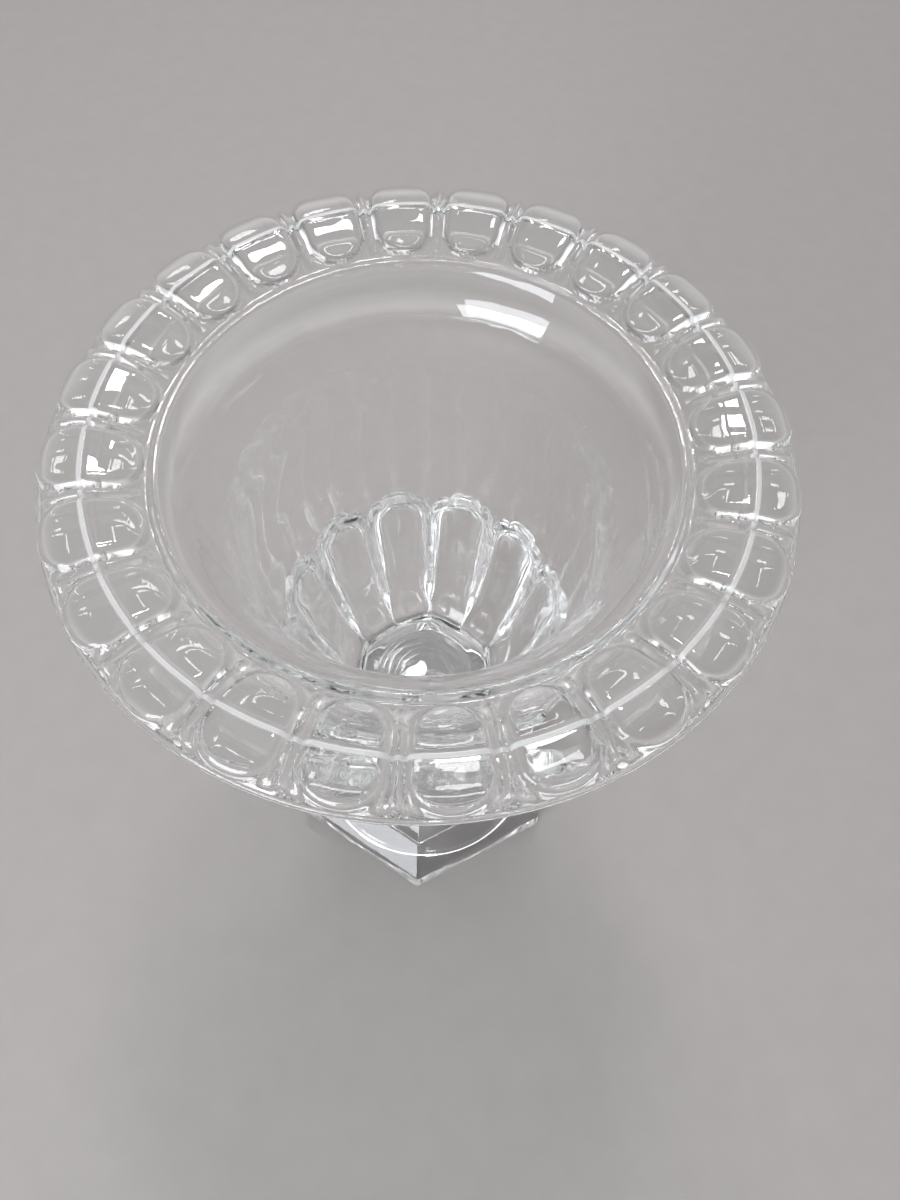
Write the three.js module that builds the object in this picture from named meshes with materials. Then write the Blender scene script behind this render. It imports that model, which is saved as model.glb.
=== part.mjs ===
// Footed crystal urn: a gadrooned bowl with an egg-and-dart rim, bonded to a hexagonal foot.
// Millimetres, +Z up. The origin is the middle of the flat underside of the foot.
import * as THREE from "three";

// ---- Driving dimensions --------------------------------------------------------------------------
const HEIGHT = 254; // underside of the foot to the top of the rim
const RIM_RADIUS = 95; // thin outer edge of the rim
const RIM_DROP = 7.6; // top of the rim above its outer edge
const CROWN_RADIUS = 85.4; // highest part of the rim
const SEAM_RADIUS = 82.6; // fine raised seam just inside the crown
const LIP_RADIUS = 66.8; // smooth bead round the mouth
const NECK_RADIUS = 53; // inside, at its narrowest
const NECK_WALL = 6;
const JOINT_HEIGHT = 84; // top of the foot
const FOOT_CORNER = 64; // middle of the plinth to a corner, as are the two below
const COLLAR_CORNER = 34;
const STEM_CORNER = 28;
const SEAT_INSET = 1.4; // how far the bowl's seat and the bond stay inside the collar's corners

const HEX_SIDES = 6;
const LOBE_COUNT = 12; // gadroons round the bowl
const EGG_COUNT = 24; // eggs round the rim, with a dart between each pair

const LOBE_TOP_Z = 154; // round tops of the gadroons
const LOBE_RELIEF = 6;
const LOBE_ARCH = 9; // how far the round top of a gadroon drops at its sides
const LOBE_SHOULDER = 10; // height of the rounded shoulder at its top
const LOBE_FOOT = 2; // height of a gadroon's lower end above the seat
const LOBE_RISE = 16; // height over which it grows out of the seat
const LOBE_FULLNESS = 2.4; // higher is flatter in the middle
const LOBE_FLANK = 0.6; // lower is steeper at the sides
const HEXAGON_FOOT = 2.5; // height up to which the bowl stays hexagonal
const HEXAGON_FADE = 14; // height over which it then turns round
const EGG_RELIEF = 2.3;
const EGG_SHARE = 0.84; // width of an egg over the distance between two darts
const EGG_CORNER = 0.92; // radius of an egg's corners over its half width
const EGG_ROUND = 3; // width of its rounded border
const EGG_FULLNESS = 2.4; // higher is flatter on top
const EGG_MARGIN = 0.8; // plain strip at both ends of an egg
const DART_HALF = 1.4; // half width of the rib in a dart
const DART_RELIEF = 1;
const DART_MARGIN = 1; // plain strip at both ends of a dart
const DART_FADE = 3; // length over which it runs out
const SEAM_RELIEF = 0.4;
const SEAM_DROP = 0.22; // foot of the seam below the crown

const BOND_THICKNESS = 0.3;
const BOND_CLEARANCE = 0.02;
const HOLLOW_RADIUS = 48; // round hollow under the foot
const HOLLOW_DEPTH = 9;

const BOWL_SEGMENTS = 96;
const FOOT_SEGMENTS = 24;

// ---- Levels worked out from them -----------------------------------------------------------------
const EDGE_Z = HEIGHT - RIM_DROP;
const BOND_Z = JOINT_HEIGHT + BOND_CLEARANCE;
const BOWL_Z = BOND_Z + BOND_THICKNESS + BOND_CLEARANCE;
const CROWN_Z = HEIGHT - EGG_RELIEF - SEAM_RELIEF + SEAM_DROP; // crown without its eggs
const FLOOR_Z = 100.8; // lowest point inside

// ---- Materials -----------------------------------------------------------------------------------
function clearGlass(colour, roughness) {
  return new THREE.MeshStandardMaterial({
    color: colour,
    roughness,
    metalness: 0,
    transparent: true,
    opacity: 0.35,
  });
}

// ---- Shapes --------------------------------------------------------------------------------------
function smoothstep(value) {
  const t = THREE.MathUtils.clamp(value, 0, 1);
  return t * t * (3 - 2 * t);
}

// A smooth stretch of a turned profile through a few [radius, height] points.
function stretch(points, steps) {
  const curve = new THREE.SplineCurve(points.map(([r, z]) => new THREE.Vector2(r, z)));
  return curve.getPoints(steps);
}

// Position across one of `count` equal repeats: -1 and 1 at its sides, 0 in its middle.
function across(angle, count) {
  const turns = (angle * count) / (2 * Math.PI);
  return 2 * (turns - Math.floor(turns)) - 1;
}

// Radius of a regular hexagon, over the distance to its corners, in a given direction.
function hexagon(angle) {
  const half = Math.PI / HEX_SIDES;
  return Math.cos(half) / Math.cos(half * across(angle, HEX_SIDES));
}

// Turns a profile about +Z and lets `shape` move each point: (r, z, angle, row) gives [r, z].
// Angle 0 looks along -Y, where a corner of the foot, a dart and a valley between gadroons line up.
function turned(profile, segments, shape) {
  const geometry = new THREE.LatheGeometry(profile, segments);
  const place = geometry.getAttribute("position");
  for (let i = 0; i < place.count; i += 1) {
    const row = i % profile.length;
    const column = Math.floor(i / profile.length) % segments;
    const angle = (2 * Math.PI * column) / segments;
    const [r, z] = shape(profile[row].x, profile[row].y, angle, row);
    place.setXYZ(i, r * Math.sin(angle), -r * Math.cos(angle), z);
  }
  geometry.computeVertexNormals();
  return geometry;
}

function named(name, geometry, material) {
  const mesh = new THREE.Mesh(geometry, material);
  mesh.name = name;
  return mesh;
}

// ---- Foot: hollow underside, stepped hexagonal plinth, waisted stem and collar -------------------
function makeFoot() {
  const hollow = stretch(
    [
      [0, HOLLOW_DEPTH],
      [HOLLOW_RADIUS * 0.55, HOLLOW_DEPTH * 0.82],
      [HOLLOW_RADIUS * 0.92, HOLLOW_DEPTH * 0.45],
      [HOLLOW_RADIUS, 0],
    ],
    5,
  );
  const plinth = [
    [FOOT_CORNER - 1.2, 0],
    [FOOT_CORNER, 1.2],
    [FOOT_CORNER - 0.8, 11.5],
    [FOOT_CORNER - 2.4, 13],
    [FOOT_CORNER - 13, 19.5],
    [FOOT_CORNER - 14.2, 22.5],
  ].map(([r, z]) => new THREE.Vector2(r, z));
  const stem = stretch(
    [
      [FOOT_CORNER - 16.5, 24],
      [37, 33],
      [29.8, 47],
      [STEM_CORNER, 62],
      [STEM_CORNER + 1, 73],
      [COLLAR_CORNER - 1, 78.5],
    ],
    8,
  );
  const collar = [
    [COLLAR_CORNER, 79.5],
    [COLLAR_CORNER, JOINT_HEIGHT - 0.6],
    [COLLAR_CORNER - 0.6, JOINT_HEIGHT],
    [0, JOINT_HEIGHT],
  ].map(([r, z]) => new THREE.Vector2(r, z));
  const profile = [...hollow, ...plinth, ...stem, ...collar];
  const shape = (r, z, angle, row) => [row < hollow.length ? r : r * hexagon(angle), z];
  return named("foot", turned(profile, FOOT_SEGMENTS, shape), clearGlass(0xe4eae9, 0.04));
}

// ---- Bond: the thin clear layer between the collar and the bowl ----------------------------------
function makeBond() {
  const corner = COLLAR_CORNER - SEAT_INSET;
  const profile = [
    [0, BOND_Z],
    [corner, BOND_Z],
    [corner, BOND_Z + BOND_THICKNESS],
    [0, BOND_Z + BOND_THICKNESS],
  ].map(([r, z]) => new THREE.Vector2(r, z));
  const shape = (r, z, angle) => [r * hexagon(angle), z];
  return named("joint_bond", turned(profile, FOOT_SEGMENTS, shape), clearGlass(0xf2f4f0, 0.06));
}

// ---- Bowl: hexagonal seat, twelve gadroons, plain flare, egg-and-dart rim and smooth inside ------
// Relief of the gadroons: rounded across, rising from the seat and ending in round arches.
function lobeRelief(z, angle) {
  const side = Math.abs(across(angle, LOBE_COUNT));
  const arch = LOBE_TOP_Z - LOBE_ARCH * (1 - Math.sqrt(1 - side * side));
  const below = THREE.MathUtils.clamp((arch - z) / LOBE_SHOULDER, 0, 1);
  const shoulder = Math.sqrt(1 - (1 - below) ** 2);
  const rise = smoothstep((z - BOWL_Z - LOBE_FOOT) / LOBE_RISE);
  return LOBE_RELIEF * (1 - side ** LOBE_FULLNESS) ** LOBE_FLANK * shoulder * rise;
}

// Relief of the eggs and darts. `along` runs over the roll from -reach at its inner end to reach.
function eggRelief(along, reach, r, angle) {
  const side = Math.abs(across(angle, EGG_COUNT));
  const pitchHalf = (Math.PI / EGG_COUNT) * r;
  const width = EGG_SHARE * pitchHalf;
  const corner = EGG_CORNER * width;
  const over = Math.max(side * pitchHalf - (width - corner), 0);
  const past = Math.max(Math.abs(along) - (reach - EGG_MARGIN - corner), 0);
  const depth = THREE.MathUtils.clamp((corner - Math.hypot(over, past)) / EGG_ROUND, 0, 1);
  const egg = EGG_RELIEF * Math.sqrt(1 - (1 - depth) ** EGG_FULLNESS);
  const fromDart = Math.min(1, ((1 - side) * pitchHalf) / DART_HALF);
  const fade = smoothstep((reach - DART_MARGIN - Math.abs(along)) / DART_FADE);
  return Math.max(egg, DART_RELIEF * Math.sqrt(1 - fromDart * fromDart) * fade);
}

// Distances along a chain of profile points, measured from its middle and falling towards its last point.
function fromMiddle(points) {
  const lengths = [0];
  for (let i = 1; i < points.length; i += 1) {
    lengths.push(lengths[i - 1] + points[i].distanceTo(points[i - 1]));
  }
  const reach = lengths[points.length - 1] / 2;
  return { reach, along: lengths.map((length) => reach - length) };
}

function makeBowl() {
  const seat = [
    [0, BOWL_Z],
    [COLLAR_CORNER - SEAT_INSET, BOWL_Z],
    [COLLAR_CORNER - 1.2, BOWL_Z + 2.4],
  ].map(([r, z]) => new THREE.Vector2(r, z));
  const outside = stretch(
    [
      [33, 90],
      [37.5, 101],
      [43, 114],
      [46.8, 128],
      [48.8, 142],
      [50.6, 156],
      [53.6, 172],
      [57.2, 190],
      [NECK_RADIUS + NECK_WALL, 206],
      [59.8, 220],
      [63.4, 232],
      [69.5, 240],
      [78, 244],
    ],
    22,
  );
  const edge = [
    [87, 244.9],
    [RIM_RADIUS - 1.2, EDGE_Z - 1.2],
    [RIM_RADIUS, EDGE_Z],
    [RIM_RADIUS - 0.8, EDGE_Z + 0.9],
  ].map(([r, z]) => new THREE.Vector2(r, z));
  const rollOutside = stretch(
    [
      [RIM_RADIUS - 1.4, EDGE_Z + 1.1],
      [RIM_RADIUS - 2.2, EDGE_Z + 2.5],
      [90.2, CROWN_Z - 1],
      [CROWN_RADIUS, CROWN_Z],
      [SEAM_RADIUS + 1, CROWN_Z - 0.1],
    ],
    6,
  );
  const rollInside = stretch(
    [
      [SEAM_RADIUS - 1, CROWN_Z - 0.4],
      [77.5, CROWN_Z - 1.5],
      [72.5, CROWN_Z - 3.3],
      [LIP_RADIUS + 1.9, EDGE_Z + 0.3],
    ],
    5,
  );
  const seam = new THREE.Vector2(SEAM_RADIUS, CROWN_Z - SEAM_DROP);
  const roll = [...rollOutside, seam, ...rollInside];
  const seamRow = rollOutside.length;
  const lip = [
    [LIP_RADIUS + 1.1, EDGE_Z + 0.6],
    [LIP_RADIUS, EDGE_Z + 1.2],
    [LIP_RADIUS - 1.3, EDGE_Z + 0.5],
  ].map(([r, z]) => new THREE.Vector2(r, z));
  const inside = stretch(
    [
      [LIP_RADIUS - 1.8, EDGE_Z - 0.4],
      [62.6, 242.8],
      [58.2, 237.6],
      [54.6, 227],
      [NECK_RADIUS, 211],
      [51.8, 194],
      [48.8, 176],
      [45.2, 158],
      [41.4, 141],
      [37.6, 127],
      [33.4, 115.5],
      [28.4, 107],
      [24, 103.4],
      [20, 102.2],
      [17.6, 101.4],
      [0, FLOOR_Z],
    ],
    16,
  );
  const profile = [...seat, ...outside, ...edge, ...roll, ...lip, ...inside];
  const outsideEnd = seat.length + outside.length;
  const rollStart = outsideEnd + edge.length;
  const { reach, along } = fromMiddle(roll);
  const shape = (r, z, angle, row) => {
    if (row < outsideEnd) {
      const squareness = 1 - smoothstep((z - BOWL_Z - HEXAGON_FOOT) / HEXAGON_FADE);
      const plan = THREE.MathUtils.lerp(1, hexagon(angle), squareness);
      return [r * plan + lobeRelief(z, angle), z];
    }
    const step = row - rollStart;
    if (step >= 0 && step < roll.length) {
      const seamHeight = step === seamRow ? SEAM_RELIEF : 0;
      return [r, z + eggRelief(along[step], reach, r, angle) + seamHeight];
    }
    return [r, z];
  };
  return named("bowl", turned(profile, BOWL_SEGMENTS, shape), clearGlass(0xe4eae9, 0.03));
}

const urn = new THREE.Group();
urn.add(makeFoot(), makeBond(), makeBowl());
export default urn;
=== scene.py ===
"""Footed crystal urn with an egg-and-dart rim, a gadrooned bowl and a hexagonal foot, in a plain studio."""

import logging
import math
from dataclasses import dataclass
from enum import Enum
from typing import Any, Callable, Sequence

import bpy
import numpy as np
from mathutils import Matrix, Vector, kdtree


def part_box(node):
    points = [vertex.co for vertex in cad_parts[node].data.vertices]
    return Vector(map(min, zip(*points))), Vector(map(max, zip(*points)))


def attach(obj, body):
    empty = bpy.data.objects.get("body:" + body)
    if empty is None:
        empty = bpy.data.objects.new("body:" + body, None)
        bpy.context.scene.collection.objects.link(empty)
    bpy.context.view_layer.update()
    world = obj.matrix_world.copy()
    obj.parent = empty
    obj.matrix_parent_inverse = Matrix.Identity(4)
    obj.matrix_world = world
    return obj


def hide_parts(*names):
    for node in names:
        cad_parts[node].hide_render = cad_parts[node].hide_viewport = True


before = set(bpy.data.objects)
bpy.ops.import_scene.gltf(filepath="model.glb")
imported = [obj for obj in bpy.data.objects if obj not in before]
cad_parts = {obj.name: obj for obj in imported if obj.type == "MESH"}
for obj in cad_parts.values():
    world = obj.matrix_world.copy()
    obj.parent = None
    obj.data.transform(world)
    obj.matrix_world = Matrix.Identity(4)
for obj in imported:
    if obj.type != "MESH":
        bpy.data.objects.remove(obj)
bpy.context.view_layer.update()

log = logging.getLogger("crystal_urn")

MM = 0.001
TAU = 2.0 * math.pi
HEX_SIDES = 6
LOBE_COUNT = 12
EGG_COUNT = 24
CURVE_STEPS = 24
WELD = 0.00001
NEAR_AXIS = 0.001
BOND_OVERLAP = 0.06
SEAM_RISE = 3.0
MIX_COLOUR_A = 6
MIX_COLOUR_B = 7
MIX_COLOUR_OUT = 2

Point = tuple[float, float]
Moved = tuple[np.ndarray, np.ndarray]
Shaper = Callable[[np.ndarray, np.ndarray, np.ndarray, np.ndarray], Moved]


# ---- Colour and node helpers -----------------------------------------------------------------------


def linear(code: str, alpha: float = 1.0) -> tuple[float, float, float, float]:
    """Turns an sRGB hex colour into linear values.

    Args:
        code: Six hex digits, with or without a leading hash.
        alpha: Fourth value of the result.

    Returns:
        Red, green, blue and alpha.
    """
    digits = code.lstrip("#")
    channels = [int(digits[i : i + 2], 16) / 255.0 for i in (0, 2, 4)]
    # The numbers are the sRGB curve's own: a short straight toe, then a power.
    red, green, blue = (c / 12.92 if c <= 0.04045 else ((c + 0.055) / 1.055) ** 2.4 for c in channels)
    return (red, green, blue, alpha)


def add_node(
    tree: bpy.types.NodeTree,
    kind: str,
    settings: dict[str, Any] | None = None,
    values: dict[str | int, Any] | None = None,
    links: dict[str | int, bpy.types.NodeSocket] | None = None,
) -> bpy.types.Node:
    """Adds one node with its settings, socket values and incoming links.

    Args:
        tree: Node tree that gets the node.
        kind: Blender's class name of the node.
        settings: Properties of the node itself.
        values: Default values by the name or number of the socket.
        links: Output sockets that feed this node, by the name or number of the socket that they enter.

    Returns:
        The new node.
    """
    node = tree.nodes.new(kind)
    for name, value in (settings or {}).items():
        setattr(node, name, value)
    for name, value in (values or {}).items():
        node.inputs[name].default_value = value
    for name, source in (links or {}).items():
        tree.links.new(source, node.inputs[name])
    return node


def empty_material(name: str) -> tuple[bpy.types.Material, bpy.types.NodeTree]:
    """Makes a material whose node tree is empty.

    Args:
        name: Name of the material.

    Returns:
        The material and its tree.
    """
    material = bpy.data.materials.new(name)
    material.use_nodes = True
    material.node_tree.nodes.clear()
    return material, material.node_tree


# ---- Finishes --------------------------------------------------------------------------------------


class Polish(Enum):
    """How a glass surface got its gloss, as the slow ripple that the process leaves, in millimetres."""

    FIRE = 0.022
    WHEEL = 0.006
    CAST = 0.012


@dataclass(frozen=True)
class RoughSeamHighlight:
    """Band along the fine raised mould seam on the crest: rougher glass, and glass turned half to a white
    base, which paints a soft white highlight line.

    Lengths are in millimetres.
    """

    radius: float
    low_z: float
    half: float = 0.8
    core_share: float = 0.5
    fade: float = 1.0
    roughness: float = 0.42
    # Transmission left in the band: the rest is white base, a painted highlight.
    clear: float = 0.5


@dataclass(frozen=True)
class LeadCrystal:
    """Clear lead crystal: bright, a touch cool where it is thick, with a faint ripple from its polish.

    Pressed crystal that is polished in the flame keeps a soft waviness, which makes the lines seen through
    it swim. Crystal that is polished on the wheel is flatter and sharper. Handling leaves a thin, patchy
    film, which only shows as slightly softer gloss.
    """

    name: str
    polish: Polish
    ripple_mm: float = 16.0
    film_mm: float = 28.0
    film_starts: float = 0.5
    film_full: float = 0.75
    ior: float = 1.54
    clean: float = 0.004
    filmed: float = 0.035
    body_colour: str = "#dfe9e7"
    body_density: float = 1.0
    # Band that roughens the glass and paints a white highlight line along the seam.
    seam: RoughSeamHighlight | None = None

    def roughen_seam_paint_highlight(
        self, tree: bpy.types.NodeTree, place: bpy.types.Node, glass: bpy.types.Node, seam: RoughSeamHighlight
    ) -> None:
        """Makes the glass rougher along the seam, and less clear there, so that its white base paints a
        highlight line.

        Args:
            tree: Node tree of the material.
            place: The texture coordinate node.
            glass: The shader, with its roughness already linked.
            seam: Where the seam is.
        """
        parts = add_node(tree, "ShaderNodeSeparateXYZ", links={"Vector": place.outputs["Object"]})
        level = add_node(
            tree,
            "ShaderNodeVectorMath",
            settings={"operation": "MULTIPLY"},
            values={1: (1.0, 1.0, 0.0)},
            links={0: place.outputs["Object"]},
        )
        reach = add_node(
            tree,
            "ShaderNodeVectorMath",
            settings={"operation": "LENGTH"},
            links={0: level.outputs["Vector"]},
        )
        off = add_node(
            tree,
            "ShaderNodeMath",
            settings={"operation": "SUBTRACT"},
            values={1: seam.radius * MM},
            links={0: reach.outputs["Value"]},
        )
        away = add_node(
            tree, "ShaderNodeMath", settings={"operation": "ABSOLUTE"}, links={0: off.outputs["Value"]}
        )
        near = add_node(
            tree,
            "ShaderNodeMapRange",
            values={"From Min": seam.half * MM, "From Max": seam.half * MM * seam.core_share},
            links={"Value": away.outputs["Value"]},
        )
        above = add_node(
            tree,
            "ShaderNodeMapRange",
            values={"From Min": seam.low_z * MM, "From Max": (seam.low_z + seam.fade) * MM},
            links={"Value": parts.outputs["Z"]},
        )
        seam_highlight_band = add_node(
            tree,
            "ShaderNodeMath",
            settings={"operation": "MULTIPLY"},
            links={0: near.outputs["Result"], 1: above.outputs["Result"]},
        )
        gloss = glass.inputs["Roughness"].links[0].from_socket
        rough = add_node(
            tree,
            "ShaderNodeMapRange",
            values={"To Max": seam.roughness},
            links={"Value": seam_highlight_band.outputs["Value"], "To Min": gloss},
        )
        # Less transmission lets the white base show: a painted white highlight line along the seam.
        clear = add_node(
            tree,
            "ShaderNodeMapRange",
            values={"To Min": 1.0, "To Max": seam.clear},
            links={"Value": seam_highlight_band.outputs["Value"]},
        )
        tree.links.new(rough.outputs["Result"], glass.inputs["Roughness"])
        tree.links.new(clear.outputs["Result"], glass.inputs["Transmission Weight"])

    def make(self) -> bpy.types.Material:
        """Makes the material.

        Returns:
            The finished material.
        """
        material, tree = empty_material(self.name)
        place = add_node(tree, "ShaderNodeTexCoord")
        film = add_node(
            tree,
            "ShaderNodeTexNoise",
            values={"Scale": 1.0 / (self.film_mm * MM), "Detail": 4.0, "Roughness": 0.6},
            links={"Vector": place.outputs["Object"]},
        )
        gloss = add_node(
            tree,
            "ShaderNodeMapRange",
            values={
                "From Min": self.film_starts,
                "From Max": self.film_full,
                "To Min": self.clean,
                "To Max": self.filmed,
            },
            links={"Value": film.outputs["Fac"]},
        )
        ripple = add_node(
            tree,
            "ShaderNodeTexNoise",
            values={"Scale": 1.0 / (self.ripple_mm * MM), "Detail": 1.0},
            links={"Vector": place.outputs["Object"]},
        )
        bump = add_node(
            tree,
            "ShaderNodeBump",
            values={"Strength": 1.0, "Distance": self.polish.value * MM * self.ripple_mm},
            links={"Height": ripple.outputs["Fac"]},
        )
        glass = add_node(
            tree,
            "ShaderNodeBsdfPrincipled",
            values={
                "Base Color": linear("#ffffff"),
                "IOR": self.ior,
                "Transmission Weight": 1.0,
            },
            links={"Roughness": gloss.outputs["Result"], "Normal": bump.outputs["Normal"]},
        )
        # The seam band paints a white highlight line along the crest.
        if self.seam is not None:
            self.roughen_seam_paint_highlight(tree, place, glass, self.seam)
        body = add_node(
            tree,
            "ShaderNodeVolumeAbsorption",
            values={"Color": linear(self.body_colour), "Density": self.body_density},
        )
        add_node(
            tree,
            "ShaderNodeOutputMaterial",
            links={"Surface": glass.outputs["BSDF"], "Volume": body.outputs["Volume"]},
        )
        return material


@dataclass(frozen=True)
class StudioPaper:
    """Seamless paper sweep: dead matt, pale and slightly mottled, which gives the glass a plain ground."""

    name: str = "seamless_paper"
    colour: str = "#b9b4b2"
    mottle: str = "#b2adab"
    fibre_mm: float = 14.0

    def make(self) -> bpy.types.Material:
        """Makes the material.

        Returns:
            The finished material.
        """
        material, tree = empty_material(self.name)
        place = add_node(tree, "ShaderNodeTexCoord")
        fibre = add_node(
            tree,
            "ShaderNodeTexNoise",
            values={"Scale": 1.0 / (self.fibre_mm * MM), "Detail": 3.0},
            links={"Vector": place.outputs["Object"]},
        )
        shade = add_node(
            tree,
            "ShaderNodeMix",
            settings={"data_type": "RGBA"},
            values={MIX_COLOUR_A: linear(self.colour), MIX_COLOUR_B: linear(self.mottle)},
            links={"Factor": fibre.outputs["Fac"]},
        )
        paper = add_node(
            tree,
            "ShaderNodeBsdfPrincipled",
            values={"Roughness": 0.9, "Specular IOR Level": 0.2},
            links={"Base Color": shade.outputs[MIX_COLOUR_OUT]},
        )
        add_node(tree, "ShaderNodeOutputMaterial", links={"Surface": paper.outputs["BSDF"]})
        return material


# ---- Modelling helpers -----------------------------------------------------------------------------


def smoothstep(value: np.ndarray) -> np.ndarray:
    """Returns an eased 0 to 1 ramp of each value, clamped outside that range."""
    t = np.clip(value, 0.0, 1.0)
    return t * t * (3.0 - 2.0 * t)


def hump(value: np.ndarray) -> np.ndarray:
    """Returns a soft hump of each value, 1 at 0 and falling to 0 at -1 and 1 and beyond."""
    return np.cos(np.clip(value, -1.0, 1.0) * math.pi / 2.0) ** 2


def across(angle: np.ndarray, count: int) -> np.ndarray:
    """Says how far each angle lies across one of some equal repeats.

    Args:
        angle: Angles about the axis, in radians from -Y.
        count: Number of repeats round the axis.

    Returns:
        -1 and 1 at the sides of a repeat and 0 in its middle.
    """
    turns = angle * count / TAU
    return 2.0 * (turns - np.floor(turns)) - 1.0


def rounded_hexagon(angle: np.ndarray, corner: np.ndarray, rounding: float) -> np.ndarray:
    """Gives the radius of a hexagon whose corners are rounded by a true arc.

    Args:
        angle: Angles about the axis, with a corner at 0.
        corner: Distance from the axis to the sharp corner.
        rounding: Radius of the arc at each corner.

    Returns:
        The distance from the axis at each angle.
    """
    half = math.pi / HEX_SIDES
    apothem = corner * math.cos(half)
    from_flat = half * across(angle, HEX_SIDES)
    from_corner = half - np.abs(from_flat)
    centre = (apothem - rounding) / math.cos(half)
    tangent = np.arctan2(rounding * math.sin(half), centre + rounding * math.cos(half))
    inner = np.maximum(rounding**2 - (centre * np.sin(from_corner)) ** 2, 0.0)
    arc = centre * np.cos(from_corner) + np.sqrt(inner)
    return np.where(from_corner < tangent, arc, apothem / np.cos(from_flat))


def distances(line: np.ndarray) -> np.ndarray:
    """Returns the distance along a line of points from its start to each point."""
    return np.concatenate([[0.0], np.cumsum(np.hypot(*np.diff(line, axis=0).T))])


def read_along(pairs: np.ndarray, length: np.ndarray, stops: np.ndarray) -> list[Point]:
    """Reads pairs of values, given at points of a curve, at other distances along it.

    Args:
        pairs: The two values at each point.
        length: Distance along the curve to each point.
        stops: Distances to read at.

    Returns:
        One pair for each stop.
    """
    found: list[Point] = []
    for stop in stops:
        first = float(np.interp(stop, length, pairs[:, 0]))
        second = float(np.interp(stop, length, pairs[:, 1]))
        found.append((first, second))
    return found


def smooth_stretch(points: Sequence[Point], steps: int) -> list[Point]:
    """Runs a Catmull-Rom curve through a few profile points and divides it evenly by length.

    Args:
        points: Radius and height pairs.
        steps: Number of equal steps.

    Returns:
        steps + 1 points, with the first and the last given point among them.
    """
    given = np.array([points[0], *points, points[-1]], float)
    fine: list[np.ndarray] = []
    for i in range(1, len(given) - 2):
        before, start, end, after = given[i - 1 : i + 3]
        for t in np.linspace(0.0, 1.0, CURVE_STEPS, endpoint=False):
            fine.append(
                0.5
                * (
                    2.0 * start
                    + (end - before) * t
                    + (2.0 * before - 5.0 * start + 4.0 * end - after) * t**2
                    + (3.0 * start - before - 3.0 * end + after) * t**3
                )
            )
    fine.append(given[-1])
    line = np.array(fine)
    length = distances(line)
    return read_along(line, length, np.linspace(0.0, length[-1], steps + 1))


def arc_points(centre: Point, radii: Point, start: float, end: float, steps: int) -> list[Point]:
    """Lays points along part of an ellipse in the profile's plane.

    Args:
        centre: Its middle.
        radii: Its half width along the radius and half height.
        start: First angle in degrees, from straight outwards towards up.
        end: Last angle in degrees.
        steps: Number of steps.

    Returns:
        steps + 1 points.
    """
    turns = [math.radians(start + (end - start) * i / steps) for i in range(steps + 1)]
    return [(centre[0] + radii[0] * math.cos(t), centre[1] + radii[1] * math.sin(t)) for t in turns]


def trace(name: str, profile: Sequence[Point]) -> bpy.types.Object:
    """Draws a profile in the plane of X and Z, by extruding one vertex from point to point.

    Args:
        name: Name of the object.
        profile: Radius and height pairs in millimetres.

    Returns:
        The object, in edit mode, with its whole chain selected.
    """
    bpy.ops.object.select_all(action="DESELECT")
    start_r, start_z = profile[0]
    bpy.ops.mesh.primitive_plane_add(size=MM, location=(0.0, 0.0, 0.0), enter_editmode=True)
    made = bpy.context.object
    made.name = made.data.name = name
    bpy.ops.mesh.merge(type="CENTER")
    bpy.ops.transform.translate(value=(start_r * MM, 0.0, start_z * MM))
    for (r0, z0), (r1, z1) in zip(profile, profile[1:]):
        step = ((r1 - r0) * MM, 0.0, (z1 - z0) * MM)
        bpy.ops.mesh.extrude_region_move(TRANSFORM_OT_translate={"value": step})
    bpy.ops.mesh.select_all(action="SELECT")
    return made


def turn(made: bpy.types.Object, columns: int) -> None:
    """Spins a traced profile once round the axis, closes it and points its faces outwards.

    Args:
        made: The traced object, in edit mode.
        columns: Number of steps round the axis.
    """
    bpy.ops.mesh.spin(steps=columns, angle=TAU, center=(0.0, 0.0, 0.0), axis=(0.0, 0.0, 1.0))
    bpy.ops.mesh.select_all(action="SELECT")
    bpy.ops.mesh.remove_doubles(threshold=WELD)
    bpy.ops.mesh.normals_make_consistent(inside=False)
    bpy.ops.object.mode_set(mode="OBJECT")


def shape_surface(
    made: bpy.types.Object, profile: Sequence[Point], repeats: int, crowding: float, shaper: Shaper
) -> None:
    """Moves the points of a turned surface, as a carver would, by their place on the profile and round it.

    Args:
        made: The turned object.
        profile: The profile that it was turned from, in millimetres.
        repeats: Repeats round the axis whose joins get more columns.
        crowding: How strongly columns crowd towards those joins, from 0 to below 1.
        shaper: Given radius, height, angle and profile row in millimetres and radians, returns the new
            radius and height.
    """
    tree = kdtree.KDTree(len(profile))
    for row, (r, z) in enumerate(profile):
        tree.insert((r, z, 0.0), row)
    tree.balance()
    mesh = made.data
    places = np.empty(len(mesh.vertices) * 3, np.float64)
    mesh.vertices.foreach_get("co", places)
    places = places.reshape(-1, 3) / MM
    radius = np.hypot(places[:, 0], places[:, 1])
    angle = np.arctan2(places[:, 0], -places[:, 1]) % TAU
    rows = np.array([tree.find((r, z, 0.0))[1] for r, z in zip(radius, places[:, 2])])
    angle = angle - crowding / repeats * np.sin(repeats * angle)
    new_r, new_z = shaper(radius, places[:, 2], angle, rows)
    moved = np.stack([new_r * np.sin(angle), -new_r * np.cos(angle), new_z], axis=1) * MM
    mesh.vertices.foreach_set("co", moved.ravel())
    mesh.update()


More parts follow.
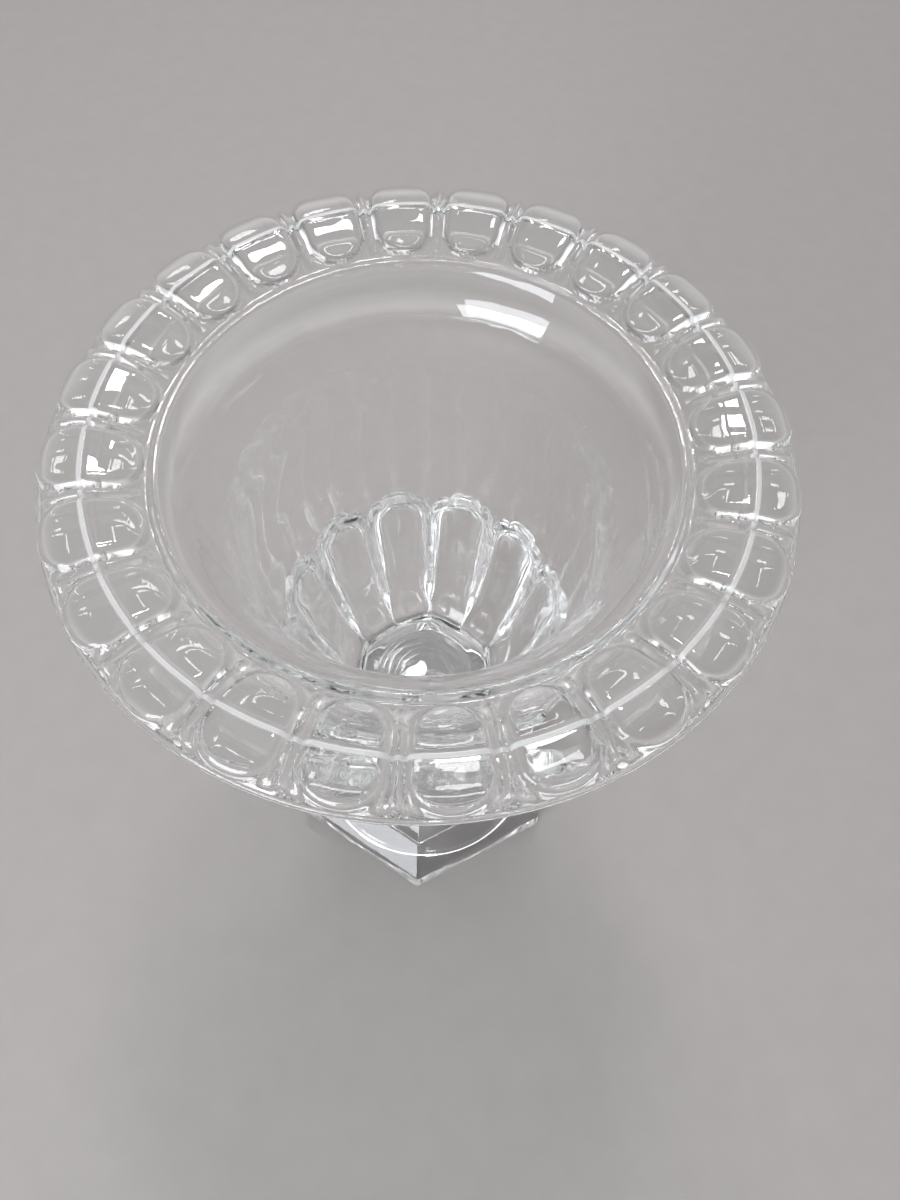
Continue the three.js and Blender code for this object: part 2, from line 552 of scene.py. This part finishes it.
def finish_glass(made: bpy.types.Object, material: bpy.types.Material, crease: float) -> None:
    """Smooths a piece up to an edge angle and gives it its material.

    Args:
        made: The piece.
        material: Its finish.
        crease: Edges sharper than this angle in degrees stay crisp.
    """
    bpy.ops.object.select_all(action="DESELECT")
    made.select_set(True)
    bpy.context.view_layer.objects.active = made
    bpy.ops.object.shade_smooth_by_angle(angle=math.radians(crease))
    made.data.materials.clear()
    made.data.materials.append(material)


def settle(made: bpy.types.Object, node: str) -> None:
    """Hands a piece to the frame in place of its CAD node.

    Args:
        made: The piece.
        node: The CAD node that it replaces.
    """
    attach(made, "root")
    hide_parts(node)
    log.info("%s: %d faces", made.name, len(made.data.polygons))


# ---- The vase --------------------------------------------------------------------------------------


@dataclass
class Bowl:
    """The one-piece bowl with its rim: sizes are in millimetres, radii from the axis."""

    height: float
    rim: float
    seat_z: float
    edge_drop: float = 7.6
    lip: float = 66.8
    neck: float = 53.0
    neck_wall: float = 6.0
    # The hexagonal seat on the foot, and how high up the wall its shape fades out.
    seat_corner: float = 34.0
    seat_inset: float = 1.8
    seat_round: float = 0.8
    hexagon_foot: float = 2.5
    hexagon_fade: float = 14.0
    # The turned-over rim, its bead at the mouth, and the place where wall and floor meet inside.
    edge_round: float = 1.3
    crown: float = 85.4
    crest: float = 82.6
    crest_dip: float = 0.25
    bead_round: float = 1.5
    bead_drop: float = 0.3
    floor_join: Point = (25.5, 104.4)
    # The gadroons round the cup.
    lobe_top: float = 154.0
    lobe_relief: float = 6.0
    lobe_arch: float = 9.0
    lobe_shoulder: float = 10.0
    lobe_foot: float = 2.0
    lobe_rise: float = 16.0
    lobe_fullness: float = 2.4
    lobe_flank: float = 0.6
    # The eggs on the rim, the ribs between them, which end in darts, and the seam ridge on the crest.
    egg_relief: float = 2.3
    egg_share: float = 0.84
    egg_margin: float = 0.8
    egg_round: float = 3.0
    egg_corner: float = 0.92
    egg_fullness: float = 2.4
    rib_half: float = 1.05
    rib_relief: float = 1.1
    rib_flare: float = 0.7
    flare_start: float = 0.62
    flare_span: float = 0.3
    dart_margin: float = 1.0
    dart_fade: float = 3.0
    ridge_half: float = 1.25
    ridge_relief: float = 0.4
    ridge_skirt: float = 1.2
    # The low rings on the floor inside.
    ring_radii: tuple[float, ...] = (11.5, 16.5)
    ring_half: float = 1.8
    ring_relief: float = 0.45
    # How finely each stretch is divided, how columns crowd towards the joins, and which edges stay crisp.
    wall_steps: int = 54
    inside_steps: int = 36
    floor_steps: int = 27
    roll_fine: int = 400
    roll_outer: int = 60
    roll_rows: tuple[int, int, int] = (17, 9, 19)
    columns: int = 528
    crowding: float = 0.5
    crease: float = 50.0

    @property
    def edge_z(self) -> float:
        """Height of the rim's thin outer edge."""
        return self.height - self.edge_drop

    def outside(self) -> list[Point]:
        """Draws the profile from the middle of the seat up to the underside of the rim.

        Returns:
            Its points.
        """
        flat = self.seat_corner - self.seat_inset
        seat = [(r, self.seat_z) for r in (0.0, 10.0, 20.0, flat)]
        corner = (flat, self.seat_z + self.seat_round)
        chamfer = arc_points(corner, (self.seat_round, self.seat_round), -90.0, 0.0, 3)
        wall = smooth_stretch(
            [
                (self.seat_corner - 1.1, self.seat_z + 2.4),
                (33.0, 90.0),
                (37.5, 101.0),
                (43.0, 114.0),
                (46.8, 128.0),
                (48.8, 142.0),
                (50.6, 156.0),
                (53.6, 172.0),
                (57.2, 190.0),
                (self.neck + self.neck_wall, 206.0),
                (59.8, 220.0),
                (63.4, 232.0),
                (69.5, 240.0),
                (78.0, 244.0),
                (87.0, 244.9),
            ],
            self.wall_steps,
        )
        return [*seat, *chamfer[1:], *wall]

    def rim_edge(self) -> list[Point]:
        """Returns the profile round the thin outer edge, from the underside to the foot of the roll."""
        size = (self.edge_round, self.edge_round)
        return arc_points((self.rim - self.edge_round, self.edge_z), size, -90.0, 80.0, 6)

    def roll(self) -> tuple[list[Point], list[Point]]:
        """Draws the profile over the turned-over roll, from its outer end to its inner end.

        Returns:
            The points, and the direction that the surface faces at each.
        """
        top = self.height - self.egg_relief - self.ridge_relief + self.crest_dip
        fine = np.array(
            smooth_stretch(
                [
                    (self.rim - 1.2, self.edge_z + 0.7),
                    (self.rim - 2.2, self.edge_z + 2.5),
                    (90.2, top - 1.0),
                    (self.crown, top),
                    (self.crest, top - self.crest_dip),
                    (77.5, top - 1.5),
                    (72.5, top - 3.3),
                    (self.lip + 1.9, self.edge_z + 0.3),
                ],
                self.roll_fine,
            )
        )
        length = distances(fine)
        # The first points, round the outer end, are left out: the radius doesn't fall steadily there.
        outer = self.roll_outer
        crest_at = float(np.interp(-self.crest, -fine[outer:, 0], length[outer:]))
        skirt = self.ridge_half * self.ridge_skirt
        before, over, after = self.roll_rows
        stops = np.concatenate(
            [
                np.linspace(0.0, crest_at - skirt, before),
                np.linspace(crest_at - self.ridge_half, crest_at + self.ridge_half, over),
                np.linspace(crest_at + skirt, length[-1], after),
            ]
        )
        slope = np.gradient(fine, length, axis=0)
        facing = [(rise, -run) for run, rise in read_along(slope, length, stops)]
        return read_along(fine, length, stops), facing

    def inside(self) -> list[Point]:
        """Draws the profile over the bead at the mouth and down the smooth inside to the floor.

        Returns:
            Its points.
        """
        middle = (self.lip, self.edge_z - self.bead_drop)
        bead = arc_points(middle, (self.bead_round, self.bead_round), 40.0, 150.0, 6)
        wall = smooth_stretch(
            [
                (self.lip - 1.8, self.edge_z - 0.4),
                (62.6, 242.8),
                (58.2, 237.6),
                (54.6, 227.0),
                (self.neck, 211.0),
                (51.8, 194.0),
                (48.8, 176.0),
                (45.2, 158.0),
                (41.4, 141.0),
                (37.6, 127.0),
                (33.4, 115.5),
                (28.4, 107.0),
                self.floor_join,
            ],
            self.inside_steps,
        )
        floor = smooth_stretch(
            [self.floor_join, (24.0, 103.4), (20.0, 102.2), (17.6, 101.4), (9.0, 101.0), (0.0, 100.8)],
            self.floor_steps,
        )
        return [*bead, *wall, *floor[1:]]

    def lobes(self, z: np.ndarray, angle: np.ndarray) -> np.ndarray:
        """Gives the relief of the gadroons.

        Args:
            z: Heights in millimetres.
            angle: Angles in radians.

        Returns:
            How far the surface stands out, in millimetres.
        """
        side = np.abs(across(angle, LOBE_COUNT))
        arch = self.lobe_top - self.lobe_arch * (1.0 - np.sqrt(np.maximum(0.0, 1.0 - side**2)))
        below = np.clip((arch - z) / self.lobe_shoulder, 0.0, 1.0)
        shoulder = np.sqrt(1.0 - (1.0 - below) ** 2)
        round_side = (1.0 - side**self.lobe_fullness) ** self.lobe_flank
        rise = smoothstep((z - self.seat_z - self.lobe_foot) / self.lobe_rise)
        return self.lobe_relief * round_side * shoulder * rise

    def floor_rings(self, r: np.ndarray) -> np.ndarray:
        """Gives the relief of the low rings that the plunger left on the floor inside.

        Args:
            r: Radii in millimetres.

        Returns:
            How far the floor stands up, in millimetres.
        """
        return self.ring_relief * sum(hump((r - ring) / self.ring_half) for ring in self.ring_radii)

    def eggs(
        self, along: np.ndarray, reach: float, from_crest: np.ndarray, r: np.ndarray, angle: np.ndarray
    ) -> np.ndarray:
        """Gives the relief of the eggs, of the darts between them and of the seam ridge along the crest.

        Args:
            along: Distance along the roll's curve from its middle, in millimetres.
            reach: The largest such distance.
            from_crest: Distance along the roll's curve from its crest, in millimetres.
            r: Radii in millimetres.
            angle: Angles in radians.

        Returns:
            How far the surface stands out, in millimetres.
        """
        side = np.abs(across(angle, EGG_COUNT))
        pitch_half = math.pi / EGG_COUNT * r
        width = self.egg_share * pitch_half
        corner = self.egg_corner * width
        over = np.maximum(side * pitch_half - (width - corner), 0.0)
        past = np.maximum(np.abs(along) - (reach - self.egg_margin - corner), 0.0)
        depth = np.clip((corner - np.hypot(over, past)) / self.egg_round, 0.0, 1.0)
        egg = self.egg_relief * np.sqrt(1.0 - (1.0 - depth) ** self.egg_fullness)
        flare = 1.0 + self.rib_flare * smoothstep((along / reach - self.flare_start) / self.flare_span)
        from_dart = (1.0 - side) * pitch_half / (self.rib_half * flare)
        rib = self.rib_relief * np.sqrt(np.clip(1.0 - from_dart**2, 0.0, 1.0))
        ridge = self.ridge_relief * hump(from_crest / self.ridge_half)
        ends = smoothstep((reach - self.dart_margin - np.abs(along)) / self.dart_fade)
        return np.maximum(egg, rib * ends) + ridge

    def build(self, material: bpy.types.Material) -> bpy.types.Object:
        """Models the bowl.

        Args:
            material: Its finish.

        Returns:
            The finished piece.
        """
        outside, edge, inside = self.outside(), self.rim_edge(), self.inside()
        roll, facing = self.roll()
        profile = [*outside, *edge, *roll, *inside]
        roll_start = len(outside) + len(edge)
        roll_end = roll_start + len(roll)
        face = np.array(facing)
        lengths = distances(np.array(roll))
        reach = lengths[-1] / 2.0
        along = reach - lengths
        crest_at = lengths[min(range(len(roll)), key=lambda i: abs(roll[i][0] - self.crest))]
        made = trace("crystal_bowl", profile)
        turn(made, self.columns)

        def shaper(r: np.ndarray, z: np.ndarray, angle: np.ndarray, row: np.ndarray) -> Moved:
            """Moves the turned points into gadroons, hexagonal seat and egg-and-dart relief.

            Args:
                r: Radii in millimetres.
                z: Heights in millimetres.
                angle: Angles in radians.
                row: Places on the profile.

            Returns:
                The new radii and heights.
            """
            squareness = 1.0 - smoothstep((z - self.seat_z - self.hexagon_foot) / self.hexagon_fade)
            hexed = rounded_hexagon(angle, np.maximum(r, NEAR_AXIS), 0.0)
            outer = row < len(outside)
            new_r = np.where(outer, r + (hexed - r) * squareness + self.lobes(z, angle), r)
            on_roll = (row >= roll_start) & (row < roll_end)
            step = np.clip(row - roll_start, 0, len(roll) - 1)
            eggs = self.eggs(along[step], reach, lengths[step] - crest_at, r, angle)
            relief = np.where(on_roll, eggs, 0.0)
            floor = np.where(row >= roll_end, self.floor_rings(r), 0.0)
            return new_r + relief * face[step, 0], z + relief * face[step, 1] + floor

        shape_surface(made, profile, EGG_COUNT, self.crowding, shaper)
        finish_glass(made, material, self.crease)
        settle(made, "bowl")
        return made


@dataclass
class Foot:
    """The solid hexagonal foot with a round hollow underneath, in millimetres.

    Near the axis, within the pole's radius, it stays round, so that the faces meet cleanly in the middle.
    """

    top_z: float
    corner: float
    collar: float = 34.0
    stem: float = 28.0
    hollow: float = 48.0
    hollow_depth: float = 9.0
    edge_round: float = 1.2
    step_inset: float = 2.2
    step_z: float = 11.6
    step_round: float = 1.4
    ledge_inset: float = 14.0
    ledge_z: float = 19.0
    ledge_round: float = 1.2
    collar_z: float = 80.0
    collar_round: float = 0.8
    corner_round: float = 1.0
    pole: float = 2.0
    pole_fade: float = 6.0
    hollow_steps: int = 18
    stem_steps: int = 40
    columns: int = 288
    crowding: float = 0.6
    crease: float = 40.0

    def profile(self) -> tuple[list[Point], int]:
        """Draws the whole profile, from the middle of the hollow to the middle of the top.

        Returns:
            Its points, and how many of them lie in the round hollow.
        """
        hollow = smooth_stretch(
            [
                (0.0, self.hollow_depth),
                (self.hollow * 0.55, self.hollow_depth * 0.82),
                (self.hollow * 0.92, self.hollow_depth * 0.45),
                (self.hollow, 0.0),
            ],
            self.hollow_steps,
        )
        edge, step, ledge = self.edge_round, self.step_round, self.ledge_round
        plinth = [
            (self.corner - 6.0, 0.0),
            *arc_points((self.corner - edge, edge), (edge, edge), -90.0, 0.0, 4),
            *arc_points((self.corner - self.step_inset, self.step_z), (step, step), 0.0, 60.0, 4),
            *arc_points((self.corner - self.ledge_inset, self.ledge_z), (ledge, ledge), 240.0, 180.0, 4),
        ]
        stem = smooth_stretch(
            [
                (self.corner - 15.2, 22.6),
                (self.corner - 17.0, 24.2),
                (37.0, 33.0),
                (29.8, 47.0),
                (self.stem, 62.0),
                (self.stem + 1.0, 73.0),
                (self.collar - 1.0, 78.5),
            ],
            self.stem_steps,
        )
        side = self.collar - self.collar_round
        rounding = (self.collar_round, self.collar_round)
        collar = [
            *arc_points((side, self.collar_z), rounding, -40.0, 0.0, 3),
            *arc_points((side, self.top_z - self.collar_round), rounding, 0.0, 90.0, 4),
            (20.0, self.top_z),
            (10.0, self.top_z),
            (0.0, self.top_z),
        ]
        return [*hollow, *plinth, *stem, *collar], len(hollow)

    def build(self, material: bpy.types.Material) -> bpy.types.Object:
        """Models the foot.

        Args:
            material: Its finish.

        Returns:
            The finished piece.
        """
        profile, hollow_rows = self.profile()
        made = trace("crystal_foot", profile)
        turn(made, self.columns)

        def shaper(r: np.ndarray, z: np.ndarray, angle: np.ndarray, row: np.ndarray) -> Moved:
            """Squares the turned foot off into a hexagon, leaving the hollow round.

            Args:
                r: Radii in millimetres.
                z: Heights in millimetres.
                angle: Angles in radians.
                row: Places on the profile.

            Returns:
                The new radii and heights.
            """
            hexed = rounded_hexagon(angle, np.maximum(r, self.pole), self.corner_round)
            blend = np.clip((r - self.pole) / self.pole_fade, 0.0, 1.0)
            return np.where(row < hollow_rows, r, r + (hexed - r) * blend), z

        shape_surface(made, profile, HEX_SIDES, self.crowding, shaper)
        finish_glass(made, material, self.crease)
        settle(made, "foot")
        return made


@dataclass
class Bond:
    """The thin clear layer that joins bowl and foot, in millimetres."""

    low_z: float
    high_z: float
    corner: float = 32.2
    side_round: float = 0.3
    crease: float = 40.0

    def build(self, material: bpy.types.Material) -> bpy.types.Object:
        """Models the bond as a hexagonal pad with softly rounded sides.

        Args:
            material: Its finish.

        Returns:
            The finished piece.
        """
        bpy.ops.object.select_all(action="DESELECT")
        middle = (self.low_z + self.high_z) / 2.0 * MM
        depth = (self.high_z - self.low_z) * MM
        bpy.ops.mesh.primitive_cylinder_add(
            vertices=HEX_SIDES,
            radius=self.corner * MM,
            depth=depth,
            location=(0.0, 0.0, middle),
        )
        made = bpy.context.object
        made.name = made.data.name = "joint_bond_layer"
        bpy.ops.object.transform_apply(location=True, rotation=True, scale=True)
        bpy.ops.object.mode_set(mode="EDIT")
        bpy.ops.mesh.select_all(action="SELECT")
        bpy.ops.mesh.bevel(offset=depth * self.side_round, segments=3, affect="EDGES")
        bpy.ops.object.mode_set(mode="OBJECT")
        finish_glass(made, material, self.crease)
        settle(made, "joint_bond")
        return made


# ---- The studio ------------------------------------------------------------------------------------


@dataclass(frozen=True)
class SoftBox:
    """One rectangular lamp that faces the vase. Its place and size are in metres and its power in watts."""

    name: str
    place: tuple[float, float, float]
    size: Point
    watts: float
    tint: str = "#ffffff"

    def hang(self, aim: Vector) -> None:
        """Hangs the lamp.

        Args:
            aim: The point that it faces.
        """
        lamp = bpy.data.lights.new(self.name, "AREA")
        lamp.shape = "RECTANGLE"
        lamp.size, lamp.size_y = self.size
        lamp.energy = self.watts
        lamp.color = linear(self.tint)[:3]
        held = bpy.data.objects.new(self.name, lamp)
        held.location = self.place
        toward = aim - Vector(self.place)
        held.rotation_euler = toward.to_track_quat("-Z", "Y").to_euler()
        bpy.context.scene.collection.objects.link(held)


SOFT_BOXES = (
    SoftBox("overhead_box", (0.0, 0.3, 2.4), (1.6, 1.6), 3.0),
    SoftBox("back_strip", (-0.04, 0.7, 1.27), (0.18, 0.05), 1.6),
    SoftBox("right_strip", (0.11, 0.733, 1.27), (0.03, 0.06), 0.6),
    SoftBox("left_strip", (-0.19, 0.71, 1.27), (0.03, 0.06), 0.6),
    SoftBox("mouth_lamp", (0.06, 0.44, 1.27), (0.16, 0.12), 1.6),
    SoftBox("left_window", (-0.78, -1.2, 0.68), (0.95, 0.5), 14.0, "#f6f9ff"),
)


@dataclass
class Studio:
    """Floor, lights and camera. Lengths are in metres, angles in degrees and the lens in millimetres."""

    rim_centre: Vector
    floor_size: float = 24.0
    floor_gap: float = 0.0002
    distance: float = 0.2317
    elevation: float = 52.99
    azimuth: float = 3.92
    aim_down: float = 62.39
    aim_right: float = -0.32
    roll: float = 2.54
    lens: float = 27.03
    near_clip: float = 0.01
    lamp_aim_z: float = 0.12
    room_strength: float = 1.7
    bounces: int = 128

    def lay_floor(self) -> None:
        """Lays the pale floor just under the foot."""
        bpy.ops.object.select_all(action="DESELECT")
        bpy.ops.mesh.primitive_grid_add(
            x_subdivisions=8, y_subdivisions=8, size=self.floor_size, location=(0.0, 0.0, -self.floor_gap)
        )
        floor = bpy.context.object
        floor.name = floor.data.name = "studio_floor"
        floor.data.materials.append(StudioPaper().make())

    def light(self) -> None:
        """Sets the room's soft gradient and hangs the lamps."""
        world = bpy.data.worlds.new("studio_room")
        bpy.context.scene.world = world
        world.use_nodes = True
        tree = world.node_tree
        tree.nodes.clear()
        place = add_node(tree, "ShaderNodeTexCoord")
        parts = add_node(tree, "ShaderNodeSeparateXYZ", links={"Vector": place.outputs["Generated"]})
        ramp = add_node(tree, "ShaderNodeValToRGB", links={"Fac": parts.outputs["Z"]})
        stops = ramp.color_ramp.elements
        horizon, ceiling = stops
        horizon.position = 0.12
        horizon.color = linear("#6f6c6a")
        ceiling.position = 0.62
        ceiling.color = linear("#66696b")
        glow = stops.new(0.3)
        glow.color = linear("#ffffff")
        room = add_node(
            tree,
            "ShaderNodeBackground",
            values={"Strength": self.room_strength},
            links={"Color": ramp.outputs["Color"]},
        )
        add_node(tree, "ShaderNodeOutputWorld", links={"Surface": room.outputs["Background"]})
        aim = Vector((0.0, 0.0, self.lamp_aim_z))
        for box in SOFT_BOXES:
            box.hang(aim)

    def place_camera(self) -> None:
        """Stands the camera above and in front of the rim."""
        up, side = math.radians(self.elevation), math.radians(self.azimuth)
        level_share = math.cos(up)
        offset = Vector((math.sin(side) * level_share, -math.cos(side) * level_share, math.sin(up)))
        down, right = math.radians(self.aim_down), math.radians(self.aim_right)
        reach = math.cos(down)
        ahead = Vector((math.sin(right) * reach, math.cos(right) * reach, -math.sin(down)))
        level = ahead.cross(Vector((0.0, 0.0, 1.0))).normalized()
        above = level.cross(ahead)
        lean = math.radians(self.roll)
        x_axis = level * math.cos(lean) + above * math.sin(lean)
        y_axis = above * math.cos(lean) - level * math.sin(lean)
        turned = Matrix((x_axis, y_axis, -ahead)).transposed()
        data = bpy.data.cameras.new("studio_camera")
        data.lens = self.lens
        data.clip_start = self.near_clip
        camera = bpy.data.objects.new("studio_camera", data)
        standpoint = Matrix.Translation(self.rim_centre + offset * self.distance)
        camera.matrix_world = standpoint @ turned.to_4x4()
        bpy.context.scene.collection.objects.link(camera)
        bpy.context.scene.camera = camera

    def set_look(self) -> None:
        """Lets light pass through enough layers of glass, and sets the tone of the picture."""
        scene = bpy.context.scene
        scene.cycles.max_bounces = self.bounces
        scene.cycles.transmission_bounces = self.bounces
        scene.cycles.glossy_bounces = self.bounces
        scene.cycles.use_denoising = True
        scene.view_settings.view_transform = "Standard"
        scene.view_settings.look = "None"
        scene.view_settings.exposure = 0.0


def main() -> None:
    """Builds the vase and the studio, and notes the sizes of both models."""
    logging.basicConfig(level=logging.INFO, format="%(name)s: %(message)s")
    bowl_low, bowl_high = (np.array(corner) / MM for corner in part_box("bowl"))
    foot_low, foot_high = (np.array(corner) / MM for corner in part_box("foot"))
    bond_low, bond_high = (np.array(corner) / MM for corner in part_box("joint_bond"))

    bowl = Bowl(height=round(bowl_high[2], 1), rim=round(bowl_high[0], 1), seat_z=bowl_low[2])
    # The seam band paints the rim's crest highlight as a soft white line.
    seam = RoughSeamHighlight(radius=bowl.crest, low_z=bowl.edge_z + SEAM_RISE)
    bowl.build(LeadCrystal("fire_polished_lead_crystal", Polish.FIRE, seam=seam).make())
    foot = Foot(top_z=foot_high[2], corner=-foot_low[1])
    foot.build(LeadCrystal("wheel_polished_lead_crystal", Polish.WHEEL).make())
    bond = Bond(low_z=bond_low[2] - BOND_OVERLAP, high_z=bond_high[2] + BOND_OVERLAP)
    bond.build(
        LeadCrystal("cured_clear_adhesive", Polish.CAST, body_colour="#f1f2ea", body_density=2.0).make()
    )

    studio = Studio(rim_centre=Vector((0.0, 0.0, bowl.edge_z * MM)))
    studio.lay_floor()
    studio.light()
    studio.place_camera()
    studio.set_look()


if __name__ == "__main__":
    main()
